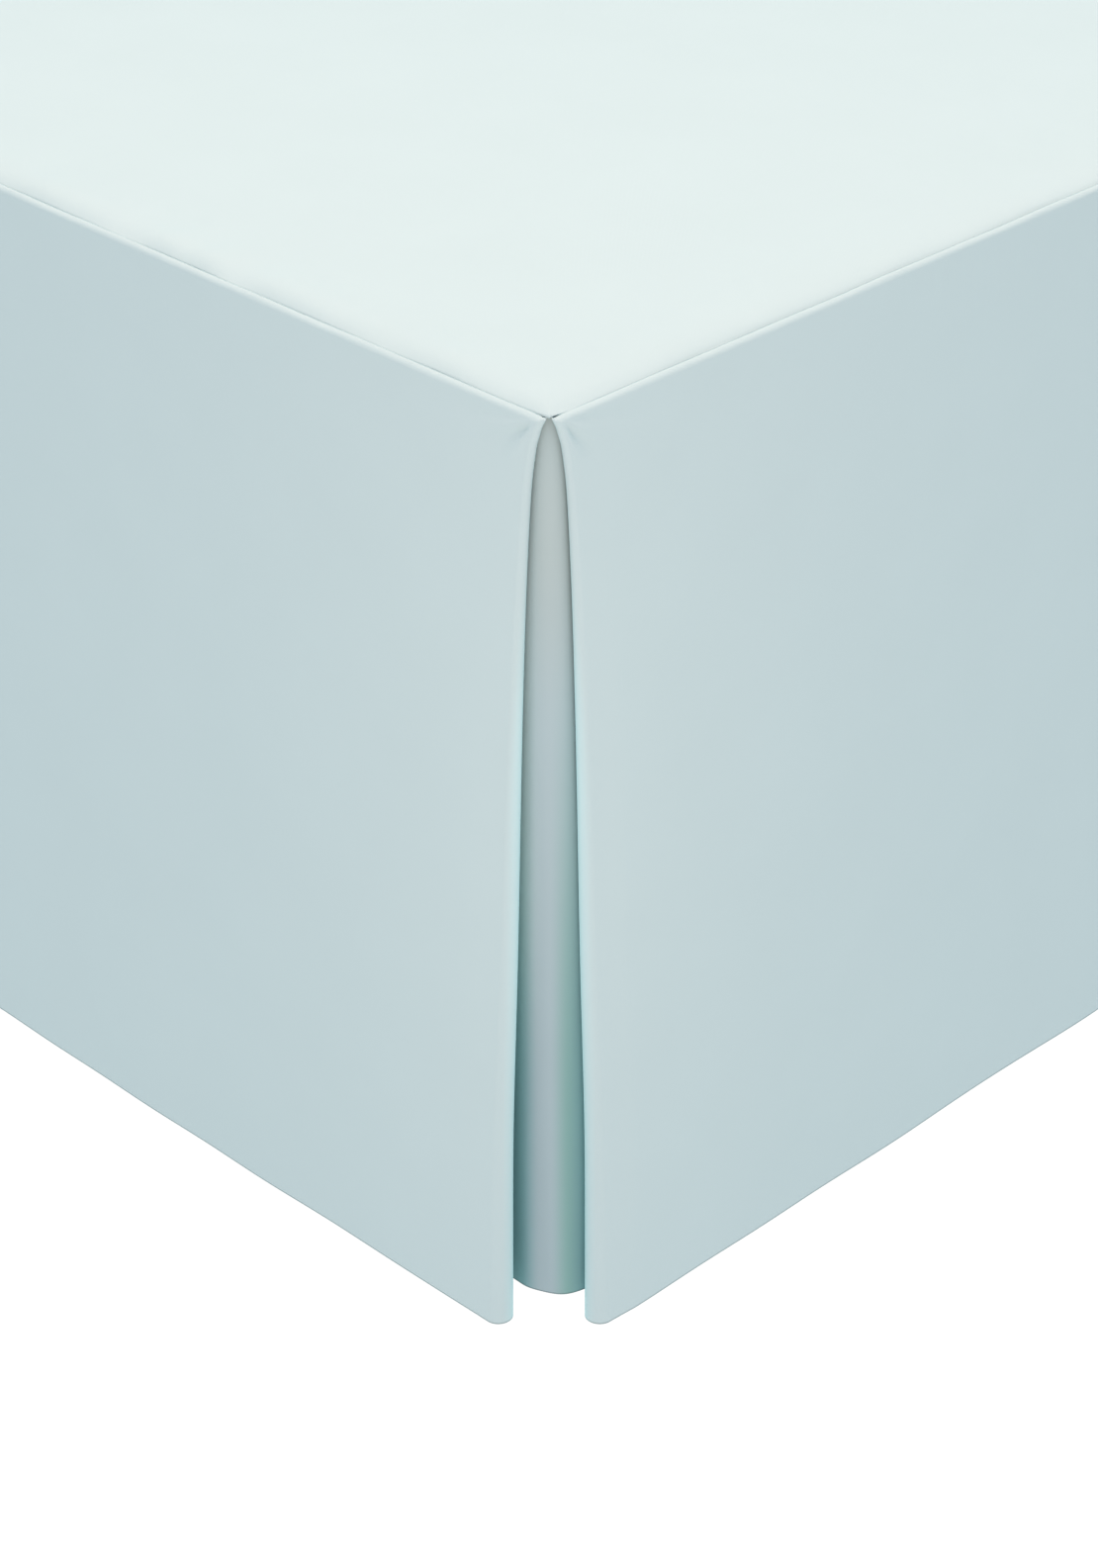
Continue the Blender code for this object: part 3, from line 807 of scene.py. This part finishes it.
def dust_cover(name):
    """Thin felt stapled under the box spring, wavy by the product of two slanting waves."""
    half_x = (BOX_HIGH.x - BOX_LOW.x) / 2 - DUST_COVER_INSET
    half_y = (BOX_HIGH.y - BOX_LOW.y) / 2 - DUST_COVER_INSET
    middle_y = (BOX_HIGH.y + BOX_LOW.y) / 2
    x, y = np.meshgrid(np.linspace(-half_x, half_x, 60), np.linspace(-half_y, half_y, 80))
    wave = DUST_COVER_WAVE * uneven(x * 3 + y, 0.30, 31) * uneven(y * 2 - x, 0.45, 32)
    z = BOX_LOW.z + DUST_COVER_RISE + wave
    points = np.stack([x, y + middle_y, z], axis=-1)[:, ::-1]
    flat = np.stack([x, y], axis=-1)[:, ::-1]
    piece = closed_sheet(name, points, np.full(x.shape, DUST_COVER_CLOTH), flat)
    return piece


def turned(name, place, profile, sides=56):
    """A turned piece: a (radius, height) profile, top to bottom, carried round an upright axis."""
    radius, height = (column[:, None] for column in np.array(profile).T)
    angle = np.linspace(0, 2 * math.pi, sides + 1)[:-1]
    rings = np.stack([place[0] + radius * np.cos(angle), place[1] + radius * np.sin(angle),
                      height + 0 * angle], axis=-1)
    return ring_body(name, rings[:, ::-1], True)


def leg(node):
    """A tapered leg with a bead at its top, and the plastic glide under its foot."""
    low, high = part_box(node)
    middle = ((low.x + high.x) / 2, (low.y + high.y) / 2)
    top = high.z
    foot = GLIDE_HEIGHT

    def taper(height):
        """The leg's radius, which grows evenly with height."""
        return LEG_RADIUS_FOOT + (LEG_RADIUS_TOP - LEG_RADIUS_FOOT) * height / top

    edge = [(taper(top) - LEG_TOP_EDGE[0], top), (taper(top), top - LEG_TOP_EDGE[1])]
    bead = [(taper(top) - BEAD_CUT * (1 - math.cos(math.pi * t)), top - BEAD_TOP - BEAD_HEIGHT * t)
            for t in np.linspace(0, 1, 7)]
    shaft = [(taper(z), z) for z in np.linspace(top - SHAFT_TOP, foot + SHAFT_FOOT, 14)]
    rounded = [(taper(foot) - LEG_FOOT_EDGE * (1 - math.cos(a)),
                foot + LEG_FOOT_EDGE - LEG_FOOT_EDGE * math.sin(a)) for a in np.linspace(0, math.pi / 2, 6)]
    wood = turned(node + "_turned", middle, edge + bead + shaft + rounded)
    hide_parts(node)
    rim = taper(0) - GLIDE_INSET
    glide = turned(node + "_glide", middle, [(rim - inset, height) for inset, height in GLIDE_PROFILE])
    return wood, glide


# ---- materials

def linear(code):
    """An sRGB hex colour as linear red, green, blue and full alpha."""
    levels = [int(code[i:i + 2], 16) / 255 for i in (1, 3, 5)]
    return [v / 12.92 if v <= 0.04045 else ((v + 0.055) / 1.055) ** 2.4 for v in levels] + [1.0]


def set_inputs(tree, node, inputs):
    """Sets a node's inputs, each to a value, or by a link from another node's output."""
    for key, value in inputs.items():
        if isinstance(value, bpy.types.NodeSocket):
            tree.links.new(value, node.inputs[key])
        else:
            node.inputs[key].default_value = value


def add_node(tree, kind, settings=None, inputs=None):
    """Adds a shader node of a kind, with its settings and inputs."""
    made = tree.nodes.new("ShaderNode" + kind)
    for key, value in (settings or {}).items():
        setattr(made, key, value)
    set_inputs(tree, made, inputs or {})
    return made


# Inputs by number: of Map Range 0 value, 1 and 2 from, 3 and 4 to; of Mix 0 factor, 2 and 3 numbers,
# 6 and 7 colours, with the colour as output 2
SMOOTH = {"interpolation_type": "SMOOTHSTEP"}
TIMES = {"operation": "MULTIPLY"}
MINUS = {"operation": "SUBTRACT"}
SIZE_OF = {"operation": "ABSOLUTE"}
BLEND = {"data_type": "RGBA"}
TINT = {"data_type": "RGBA", "blend_type": "MULTIPLY"}


def new_material(name):
    """A material's node tree with its Principled shader."""
    material = bpy.data.materials.new(name)
    material.use_nodes = True
    return material, material.node_tree, material.node_tree.nodes["Principled BSDF"]


def pleat_painted_shade(tree, place, colour):
    """The underlay's tones, painted on the cloth by its flat place: across it, and down from its top.

    This is painted shade: warmer near the top, and deeper towards the hem, steadily in the middle and on
    the side drop's half, and late on the foot drop's half, where shade falls in the pleat's recess. Painted
    shade also turns it darker and greener beside both folds, and in one soft band on the side drop's half.
    """
    across, down, _ = add_node(tree, "SeparateXYZ", None, {0: place.outputs[0]}).outputs
    steady = add_node(tree, "MapRange", None, {0: down, 1: 0.0, 2: 0.30, 3: 0.55, 4: 1.1})
    late = add_node(tree, "MapRange", SMOOTH, {0: down, 1: 0.17, 2: 0.28})
    foot_half = add_node(tree, "MapRange", SMOOTH,
                         {0: across, 1: UNDERLAY_MIDDLE - 0.002, 2: UNDERLAY_MIDDLE - 0.010})
    painted_shade_share = add_node(tree, "Mix", {"data_type": "FLOAT"},
                    {0: foot_half.outputs[0], 2: steady.outputs[0], 3: late.outputs[0]})
    below_top = add_node(tree, "MapRange", SMOOTH, {0: down, 1: 0.04, 2: 0.12})
    tone = add_node(tree, "Mix", BLEND,
                    {0: below_top.outputs[0], 6: linear("#dad7d4"), 7: linear("#dadee3")})
    toned = add_node(tree, "Mix", TINT, {0: painted_shade_share.outputs[0], 6: colour, 7: tone.outputs[2]})

    off_middle = add_node(tree, "Math", MINUS, {0: across, 1: UNDERLAY_MIDDLE})
    away = add_node(tree, "Math", SIZE_OF, {0: off_middle.outputs[0]})
    near_fold = add_node(tree, "MapRange", SMOOTH, {0: away.outputs[0], 1: 0.004, 2: 0.013})
    lower = add_node(tree, "MapRange", SMOOTH, {0: down, 1: 0.05, 2: 0.27})
    beside = add_node(tree, "Math", TIMES, {0: near_fold.outputs[0], 1: lower.outputs[0]})
    toned = add_node(tree, "Mix", TINT, {0: beside.outputs[0], 6: toned.outputs[2], 7: linear("#c2f0ee")})

    off_band = add_node(tree, "Math", MINUS, {0: across, 1: UNDERLAY_MIDDLE + 0.0055})
    from_band = add_node(tree, "Math", SIZE_OF, {0: off_band.outputs[0]})
    in_band = add_node(tree, "MapRange", SMOOTH, {0: from_band.outputs[0], 1: 0.0065, 2: 0.0})
    band_down = add_node(tree, "MapRange", SMOOTH, {0: down, 1: 0.06, 2: 0.28})
    painted_band = add_node(tree, "Math", TIMES, {0: in_band.outputs[0], 1: band_down.outputs[0]})
    toned = add_node(tree, "Mix", TINT, {0: painted_band.outputs[0], 6: toned.outputs[2], 7: linear("#d3f0e4")})
    return toned.outputs[2]


def hem_painted_shade(tree, colour, height):
    """Painted shade along the lower edge, darker over its last half millimetre; height is where it ends."""
    place = add_node(tree, "TexCoord")
    axes = add_node(tree, "SeparateXYZ", None, {0: place.outputs["Object"]})
    edge = add_node(tree, "MapRange", SMOOTH, {0: axes.outputs[2], 1: height + 0.0007, 2: height + 0.0003})
    edge_shaded = add_node(tree, "Mix", TINT, {0: edge.outputs[0], 6: colour, 7: linear("#c4c8c8")})
    return edge_shaded.outputs[2]


def brushed_microfibre(name, sheen, hem, with_painted_shade):
    """Brushed polyester: matte, with a cool sheen of short fibres where it turns away from the eye.

    A plain weave, sines of the flat cloth place, one across the other, lies under faint slubs. The
    real threads are near 0.1 mm; they are drawn coarser, at 0.3 mm, so that they show. The slubs
    are about 8 by 1 mm, and the soft patches of tone about 45 mm wide.
    """
    thread = 0.00030
    material, tree, shader = new_material(name)
    place = add_node(tree, "UVMap", {"uv_map": "cloth"})
    turns = 2 * math.pi / (2 * thread)
    phase = add_node(tree, "VectorMath", TIMES, {0: place.outputs[0], 1: (turns, turns, 0)})
    wave = add_node(tree, "VectorMath", {"operation": "SINE"}, {0: phase.outputs[0]})
    axes = add_node(tree, "SeparateXYZ", None, {0: wave.outputs[0]})
    weave = add_node(tree, "Math", TIMES, {0: axes.outputs[0], 1: axes.outputs[1]})
    slub_place = add_node(tree, "Mapping", None, {"Vector": place.outputs[0], "Scale": (120, 900, 1)})
    slubs = add_node(tree, "TexNoise", None, {"Vector": slub_place.outputs[0], "Scale": 1.0, "Detail": 2.0})
    height = add_node(tree, "Math", {"operation": "MULTIPLY_ADD"},
                      {0: slubs.outputs[0], 1: 1.2, 2: weave.outputs[0]})
    bump = add_node(tree, "Bump", None,
                    {"Strength": 0.12, "Distance": thread * 0.25, "Height": height.outputs[0]})
    cloud = add_node(tree, "TexNoise", None, {"Vector": place.outputs[0], "Scale": 22.0, "Detail": 3.0})
    mixed = add_node(tree, "Mix", BLEND, {0: cloud.outputs[0], 6: linear("#c0d0d1"), 7: linear("#bdcdce")})
    # The underlay's copy gets painted shade; the skirt's copy a painted highlight along the pleats' folds
    if with_painted_shade:
        colour = pleat_painted_shade(tree, place, mixed.outputs[2])
    else:
        # Painted highlight: along a pleat's fold the cloth is painted a lighter, greener tone
        fold = add_node(tree, "Attribute", {"attribute_name": "fold"})
        colour = add_node(tree, "Mix", BLEND,
                          {0: fold.outputs["Fac"], 6: mixed.outputs[2], 7: linear("#c4e2e4")}).outputs[2]
    # Painted shade along the hem's lower edge darkens the base colour
    set_inputs(tree, shader, {
        "Base Color": hem_painted_shade(tree, colour, hem),
        "Normal": bump.outputs[0],
        "Roughness": 0.85,
        "Specular IOR Level": 0.3,
        "Sheen Weight": sheen,
        "Sheen Roughness": 0.30,
        "Sheen Tint": linear("#a8f2f4"),
    })
    return material


def spunbond_felt(name):
    """Spunbond polypropylene: flat and matte, with a speckle of fibres in all directions.

    Its fibres, far below 0.1 mm, are drawn as a noise of about 1 mm, so that they show.
    """
    material, tree, shader = new_material(name)
    place = add_node(tree, "TexCoord")
    fibres = add_node(tree, "TexNoise", None,
                      {"Vector": place.outputs["Object"], "Scale": 900.0, "Detail": 4.0, "Distortion": 1.5})
    mixed = add_node(tree, "Mix", BLEND, {0: fibres.outputs[0], 6: linear("#4a4b4d"), 7: linear("#3c3d3f")})
    bump = add_node(tree, "Bump", None, {"Strength": 0.3, "Distance": 0.0002, "Height": fibres.outputs[0]})
    set_inputs(tree, shader, {"Base Color": mixed.outputs[2], "Normal": bump.outputs[0], "Roughness": 0.9})
    return material


def cotton_twill(name, light, dark, thread):
    """Cotton twill in natural white: slanting ribs give it a soft, even, matte face.

    The ribs are drawn the given size apart, coarser than real ones, so that they show. They lie
    over soft patches of tone about 25 mm wide.
    """
    period = 0.314             # between the bands of the wave texture at scale 1
    slant = (0.7, 0.7, 0.7)    # turned about all three axes, so that the ribs slant on every face
    material, tree, shader = new_material(name)
    place = add_node(tree, "TexCoord")
    slanted = add_node(tree, "Mapping", None, {"Vector": place.outputs["Object"], "Rotation": slant})
    twill = add_node(tree, "TexWave", {"wave_type": "BANDS", "bands_direction": "X"},
                     {"Vector": slanted.outputs[0], "Scale": period / thread, "Distortion": 0.6})
    cloud = add_node(tree, "TexNoise", None,
                     {"Vector": place.outputs["Object"], "Scale": 40.0, "Detail": 4.0})
    mixed = add_node(tree, "Mix", BLEND, {0: cloud.outputs[0], 6: linear(light), 7: linear(dark)})
    bump = add_node(tree, "Bump", None,
                    {"Strength": 0.4, "Distance": thread * 0.3, "Height": twill.outputs[1]})
    set_inputs(tree, shader, {"Base Color": mixed.outputs[2], "Normal": bump.outputs[0], "Roughness": 0.88,
                              "Sheen Weight": 0.1})
    return material


def stained_beech(name):
    """Turned beech, stained dark and lacquered: fine upright grain under a satin coat.

    The grain's streaks are about 7 by 110 mm, with finer ones in them.
    """
    material, tree, shader = new_material(name)
    place = add_node(tree, "TexCoord")
    along = add_node(tree, "Mapping", None, {"Vector": place.outputs["Object"], "Scale": (140, 140, 9)})
    grain = add_node(tree, "TexNoise", None,
                     {"Vector": along.outputs[0], "Scale": 1.0, "Detail": 6.0, "Distortion": 0.4})
    tone = add_node(tree, "Mix", BLEND, {0: grain.outputs[0], 6: linear("#3a2519"), 7: linear("#6b4630")})
    bump = add_node(tree, "Bump", None, {"Strength": 0.15, "Distance": 0.0003, "Height": grain.outputs[0]})
    set_inputs(tree, shader, {"Base Color": tone.outputs[2], "Normal": bump.outputs[0], "Roughness": 0.42,
                              "Coat Weight": 0.4, "Coat Roughness": 0.25})
    return material


def moulded_nylon(name):
    """Moulded nylon, warm grey: a dull shine, broken up by scuffs of about 1.7 mm."""
    material, tree, shader = new_material(name)
    place = add_node(tree, "TexCoord")
    scuff = add_node(tree, "TexNoise", None,
                     {"Vector": place.outputs["Object"], "Scale": 600.0, "Detail": 5.0})
    rough = add_node(tree, "MapRange", None, {0: scuff.outputs[0], 3: 0.35, 4: 0.65})
    set_inputs(tree, shader, {"Base Color": linear("#8e8a84"), "Roughness": rough.outputs[0]})
    return material


def opal_acrylic(name):
    """Matte opal acrylic, lit from below: the floor is a light table, white and without shadows.

    The white comes from the glow. The base is dark, so that the lamps add little, and its two
    greys lie in patches a third of a metre wide.
    """
    material, tree, shader = new_material(name)
    place = add_node(tree, "TexCoord")
    cloud = add_node(tree, "TexNoise", None,
                     {"Vector": place.outputs["Object"], "Scale": 3.0, "Detail": 3.0})
    tone = add_node(tree, "Mix", BLEND, {0: cloud.outputs[0], 6: linear("#4c4c4c"), 7: linear("#484848")})
    set_inputs(tree, shader, {
        "Base Color": tone.outputs[2],
        "Emission Color": linear("#ffffff"),
        "Emission Strength": FLOOR_GLOW,
        "Roughness": 0.9,
        "Specular IOR Level": 0.1,
    })
    return material


# ---- studio

def floor(finish):
    """A wide level floor, a hair under the glides."""
    r = FLOOR_REACH
    points = np.array([(-r, -r, FLOOR_Z), (r, -r, FLOOR_Z), (r, r, FLOOR_Z), (-r, r, FLOOR_Z)])
    piece = add_piece("floor", points, [(0, 1, 2, 3)])
    piece.data.materials.append(finish)


def soft_box(name, watts, size, place, aim):
    """A warm area light, square or oblong, that faces a point."""
    light = bpy.data.lights.new(name, "AREA")
    light.shape = "RECTANGLE"
    light.size, light.size_y = size
    light.energy = watts
    light.color = linear(WARM)[:3]
    lamp = bpy.data.objects.new(name, light)
    lamp.location = place
    lamp.rotation_euler = (Vector(aim) - Vector(place)).to_track_quat("-Z", "Y").to_euler()
    bpy.context.scene.collection.objects.link(lamp)


def from_corner(out, height):
    """A point as far out along the right foot corner's diagonal, at a height."""
    r = math.sqrt(0.5)
    return (RIGHT_CORNER[0] + r * out, RIGHT_CORNER[1] - r * out, height)


def studio():
    """Pale cool surroundings, warm soft light from above, and a small light before the foot corner."""
    world = bpy.data.worlds.new("studio")
    world.use_nodes = True
    back = world.node_tree.nodes["Background"]
    set_inputs(world.node_tree, back, {"Color": linear(COOL), "Strength": WORLD_STRENGTH})
    bpy.context.scene.world = world
    # Lamps: watts, size, place and the point they face. The last is level with the drops' upper half
    for lamp in (("overhead_wide", 7.3, (4.5, 5.0), (0, 0, 2.8), (0, 0, 0)),
                 ("overhead_near", 28.5, (1.8, 1.8), from_corner(-0.2, 1.9), from_corner(-0.2, 0)),
                 ("before_corner", 0.41, (0.25, 0.12), from_corner(0.40, 0.27), from_corner(0, 0.25))):
        soft_box(*lamp)
    bpy.context.scene.view_settings.view_transform = "Standard"


def camera():
    """The photo's view: from the foot corner's diagonal, looking down at it."""
    data = bpy.data.cameras.new("camera")
    data.lens = CAMERA_LENS
    data.sensor_width = CAMERA_SENSOR
    view = bpy.data.objects.new("camera", data)
    view.location = from_corner(CAMERA_DISTANCE, SEAM_Z + CAMERA_RISE * CAMERA_DISTANCE)
    view.rotation_euler = (CAMERA_TILT, 0, CAMERA_TURN)
    bpy.context.scene.collection.objects.link(view)
    bpy.context.scene.camera = view


# ---- the whole

def dress(piece, finish, slot, *nodes):
    """Gives a piece its finish, puts it under the root, and hides the nodes that it stands for; slot is not
    used.
    """
    piece.data.materials.append(finish)
    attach(piece, "root")
    if nodes:
        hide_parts(*nodes)


def build():
    """All pieces with their finishes, then the floor, the lights and the camera."""
    right, forward = np.array((1.0, 0.0)), np.array((0.0, 1.0))
    # The skirt's copy of the cloth, with a painted highlight along the pleats' folds
    skirt = brushed_microfibre("brushed_microfibre", 0.60, HEM_Z, False)
    # The underlay's copy of the cloth, with painted shade
    inner = brushed_microfibre("brushed_microfibre_pleat_painted_shade", 0.05, HEM_Z + UNDERLAY_SHORTER, True)
    cover = cotton_twill("cotton_ticking", "#e4e0d6", "#dcd8ce", 0.0012)
    tape = cotton_twill("twill_tape", "#d2cdc2", "#c9c4b8", 0.0009)
    lining = spunbond_felt("spunbond_felt")
    beech = stained_beech("stained_beech")
    nylon = moulded_nylon("moulded_nylon")

    dress(box_spring_cover("box_spring_cover"), cover, "ticking", "box_spring")
    for top, name in ((True, "box_tape_top"), (False, "box_tape_bottom")):
        dress(edge_tape(name, top), tape, "ticking")
    dress(dust_cover("dust_cover"), lining, "ticking")
    for row in ("foot", "middle", "head"):
        for side in ("left", "right"):
            wood, glide = leg(f"leg_{row}_{side}")
            dress(wood, beech, "leg_wood")
            dress(glide, nylon, "leg_wood")

    dress(deck_cloth("deck_cloth"), skirt, "skirt_cloth", "deck")
    dress(drop_cloth("foot_drop_cloth", RIGHT_CORNER, -right, forward, BED_WIDTH, FOOT_SWELLS,
                     FOOT_CREASES, 41, True), skirt, "skirt_cloth", "drop_foot")
    dress(drop_cloth("right_drop_cloth", RIGHT_CORNER, forward, -right, BED_LENGTH, RIGHT_SWELLS,
                     SIDE_CREASES, 61, False), skirt, "skirt_cloth", "drop_side_right")
    dress(drop_cloth("left_drop_cloth", LEFT_CORNER, forward, right, BED_LENGTH, LEFT_SWELLS,
                     SIDE_CREASES, 81, False), skirt, "skirt_cloth", "drop_side_left")
    dress(underlay_cloth("right_underlay_cloth", RIGHT_CORNER, +1, 101), inner, "skirt_cloth",
          "pleat_underlay_right")
    dress(underlay_cloth("left_underlay_cloth", LEFT_CORNER, -1, 111), inner, "skirt_cloth",
          "pleat_underlay_left")
    floor(opal_acrylic("opal_acrylic"))
    studio()
    camera()


build()
